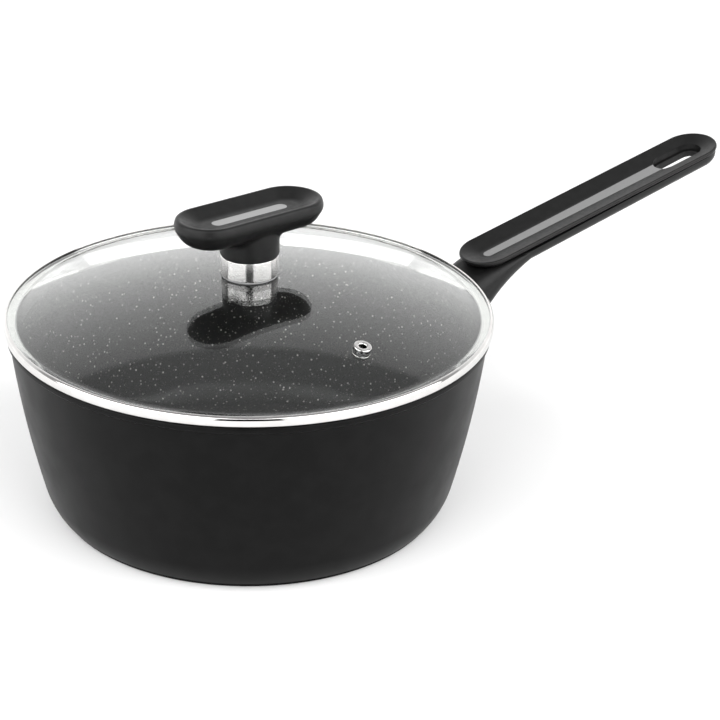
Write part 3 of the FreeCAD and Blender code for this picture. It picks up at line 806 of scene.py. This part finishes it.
direction = tree.nodes.new("ShaderNodeTexCoord").outputs["Generated"]
split = tree.nodes.new("ShaderNodeSeparateXYZ")
tree.links.new(direction, split.inputs["Vector"])
facing = tree.nodes.new("ShaderNodeVectorMath")
facing.operation = "DOT_PRODUCT"
facing.inputs[1].default_value = -towards_camera
tree.links.new(direction, facing.inputs[0])
away = facing.outputs["Value"]

# %% Card and ceiling
card_foot, card_top, card_end = 0.25, 1.12, 1.14          # rise over run, seen from the pan
card_bright, card_dim = 1.08, 0.32
card_rise = room_math("DIVIDE", split.outputs["Z"], room_math("MAXIMUM", away, 0.001))
card_glow = room_ramp(card_rise, card_foot, card_top, card_bright, card_dim)
under_top = room_ramp(card_rise, card_top, card_end, 1.0, 0.0)
behind = room_ramp(away, -0.05, 0.05, 0.0, 1.0)
card = room_math("MULTIPLY", room_math("MULTIPLY", card_glow, under_top), behind)
ceiling_dark, ceiling_light = 0.04, 0.43
ceiling = room_ramp(away, -0.75, -0.35, ceiling_dark, ceiling_light)
studio_light = room_math("ADD", card, ceiling)
seen = tree.nodes.new("ShaderNodeLightPath").outputs["Is Camera Ray"]
strength = tree.nodes.new("ShaderNodeMix")
tree.links.new(seen, strength.inputs["Factor"])
tree.links.new(studio_light, strength.inputs["A"])
strength.inputs["B"].default_value = 1.0
tree.links.new(strength.outputs["Result"], background.inputs["Strength"])
print("the room's light takes", len(tree.nodes), "nodes")

# %% [markdown]
# ## Soft boxes
# Two large soft boxes stand in front, one each side of the camera. They light the pot and put the bright sides
# on the ferrule.


# %% Soft boxes
def soft_box(name, turn, elevation, distance, width, height, power):
    """A large rectangular lamp that faces the pot, turned to one side of the camera."""
    lamp = bpy.data.lights.new(name, "AREA")
    lamp.shape = "RECTANGLE"
    lamp.size = width
    lamp.size_y = height
    lamp.energy = power
    holder = bpy.data.objects.new(name, lamp)
    side = towards_camera * math.cos(turn) + camera_right * math.sin(turn)
    out = side * math.cos(elevation) + Vector((0, 0, math.sin(elevation)))
    holder.location = out * distance
    holder.rotation_euler = out.to_track_quat("Z", "Y").to_euler()
    holder.visible_camera = False
    bpy.context.scene.collection.objects.link(holder)
    print(name, power, "W")


box_turn = math.radians(54)
box_elevation = math.radians(35)
box_distance = 1.8
box_width = 2.8
box_height = 1.8
box_power = 50
for name, side in (("soft_box_left", -1), ("soft_box_right", 1)):
    soft_box(name, side * box_turn, box_elevation, box_distance, box_width, box_height, box_power)

# %% [markdown]
# ## Black flag
# A sheet of black cloth hangs in the gap between the soft boxes. The ferrule and the rim mirror it as a dark
# stripe and a dark sliver, which is what makes them read as polished. The camera looks through it, and it takes
# no light from the pot.

# %% Black flag
flag_cloth = new_material("black_cloth", Specular_IOR_Level=0.0)
mottle(flag_cloth, grey(0.004), grey(0.008), 8 * MM)
uneven_gloss(flag_cloth, 0.8, 0.9, 8 * MM)
flag_distance = 0.55
flag_half = flag_distance * math.tan(math.radians(13.5))
flag_height = 0.50
flag_corners = [(-flag_half, 0.0), (flag_half, 0.0), (flag_half, flag_height), (-flag_half, flag_height)]
flag_shape = bmesh.new()
hung = [towards_camera * flag_distance + camera_right * side + Vector((0, 0, height))
        for side, height in flag_corners]
flag_shape.faces.new([flag_shape.verts.new(place) for place in hung])
flag = studio_sheet("black_flag", flag_shape, flag_cloth)
flag.visible_camera = False
flag.visible_diffuse = False
flag.visible_shadow = False

# %% [markdown]
# ## Camera
# A long lens from a little above, looking along the handle's shoulder. It aims to the right of the pot's
# axis, so that the pot and the handle share the picture, and a slight roll keeps the pot upright there.

# %% Camera
aim_right = 47.8 * MM
aim_height = 63.7 * MM
camera_roll = 0.0220
camera_data = bpy.data.cameras.new("camera")
camera_data.sensor_width = 36.0
camera_data.lens = 115.4
camera = bpy.data.objects.new("camera", camera_data)
bpy.context.scene.collection.objects.link(camera)
pot_middle = Vector((0, 0, 63.8 * MM))
out = towards_camera * math.cos(camera_elevation) + Vector((0, 0, math.sin(camera_elevation)))
camera.location = pot_middle + out * camera_distance
aim = camera_right * aim_right + Vector((0, 0, aim_height))
looking = (camera.location - aim).to_track_quat("Z", "Y").to_matrix().to_4x4()
camera.rotation_euler = (looking @ Matrix.Rotation(camera_roll, 4, "Z")).to_euler()
bpy.context.scene.camera = camera
bpy.context.scene.view_settings.view_transform = "Standard"
print("camera at", tuple(round(value, 4) for value in camera.location))
